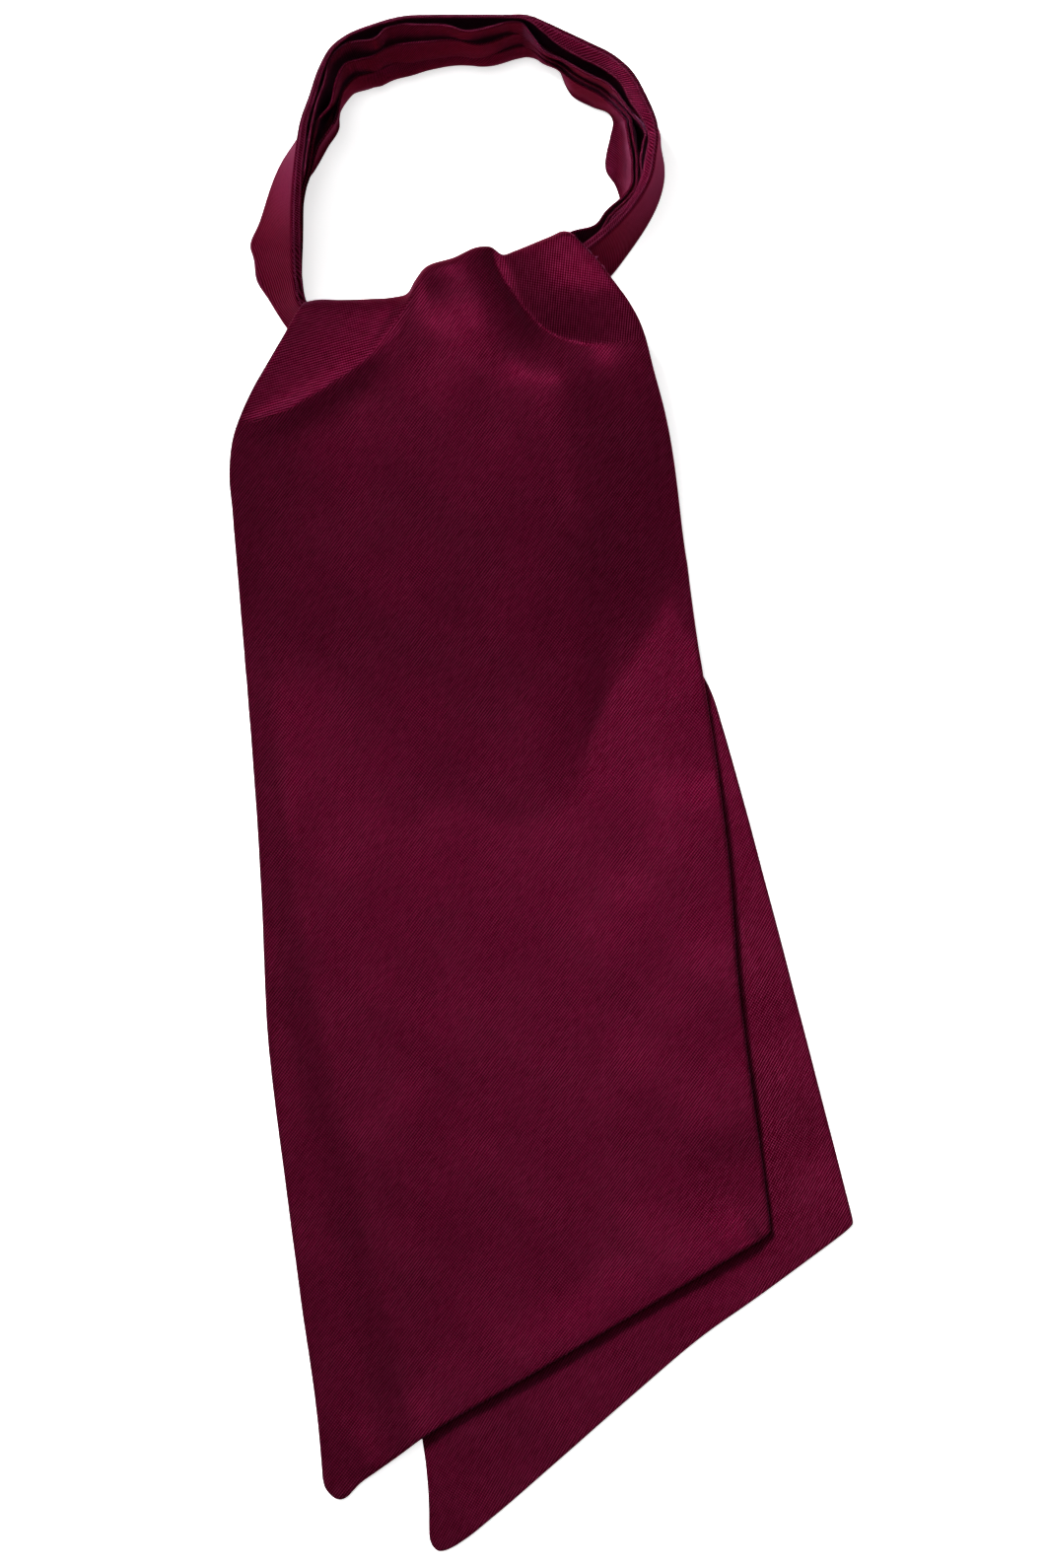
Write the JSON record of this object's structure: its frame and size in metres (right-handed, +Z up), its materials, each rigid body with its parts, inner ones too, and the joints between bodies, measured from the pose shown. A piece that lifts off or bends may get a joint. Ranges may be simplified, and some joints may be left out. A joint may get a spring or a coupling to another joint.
{
  "type": "silk cravat",
  "caption": "Silk cravat laid out flat: wide slant-ended blades folded over a knot, with a pleated neckband standing in a loop.",
  "frame": {"origin": "on the surface it lies on, under the middle of the whole cravat", "axes": "+X across the blades to the right, +Y from the blades' ends towards the neck loop, +Z up from the surface"},
  "size_m": [0.2, 0.4886, 0.031],
  "materials": {
    "blade_silk": "satin twill",
    "band_silk": "satin twill"
  },
  "bodies": {
    "root": {"front_blade": "blade_silk", "rear_blade": "blade_silk", "knot": "blade_silk", "neckband_outer": "band_silk", "neckband_pleat_1": "band_silk", "neckband_pleat_2": "band_silk", "neckband_inner": "band_silk"}
  },
  "joints": []
}
